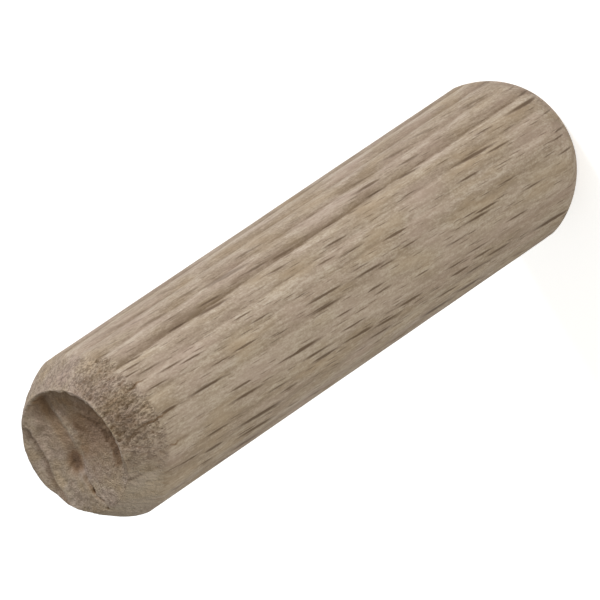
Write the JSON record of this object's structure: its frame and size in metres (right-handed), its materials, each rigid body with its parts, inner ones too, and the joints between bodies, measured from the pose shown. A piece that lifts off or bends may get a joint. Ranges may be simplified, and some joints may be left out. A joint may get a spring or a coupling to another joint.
{
  "type": "wooden dowel pin",
  "caption": "Straight fluted beech dowel pin that glues two boards together, with a rounded plain end and a rough, torn-out upper end.",
  "frame": {"origin": "centre of the plain end face, which the pin stands on", "axes": "+Z along the pin and its grain, from the plain end to the torn end; -Y is the side whose growth rings lie almost flat to the surface"},
  "size_m": [0.01, 0.01, 0.04],
  "materials": {
    "beech": "unfinished turned and fluted beech, dull, with torn end grain"
  },
  "bodies": {
    "root": {"dowel": "beech"}
  },
  "joints": []
}
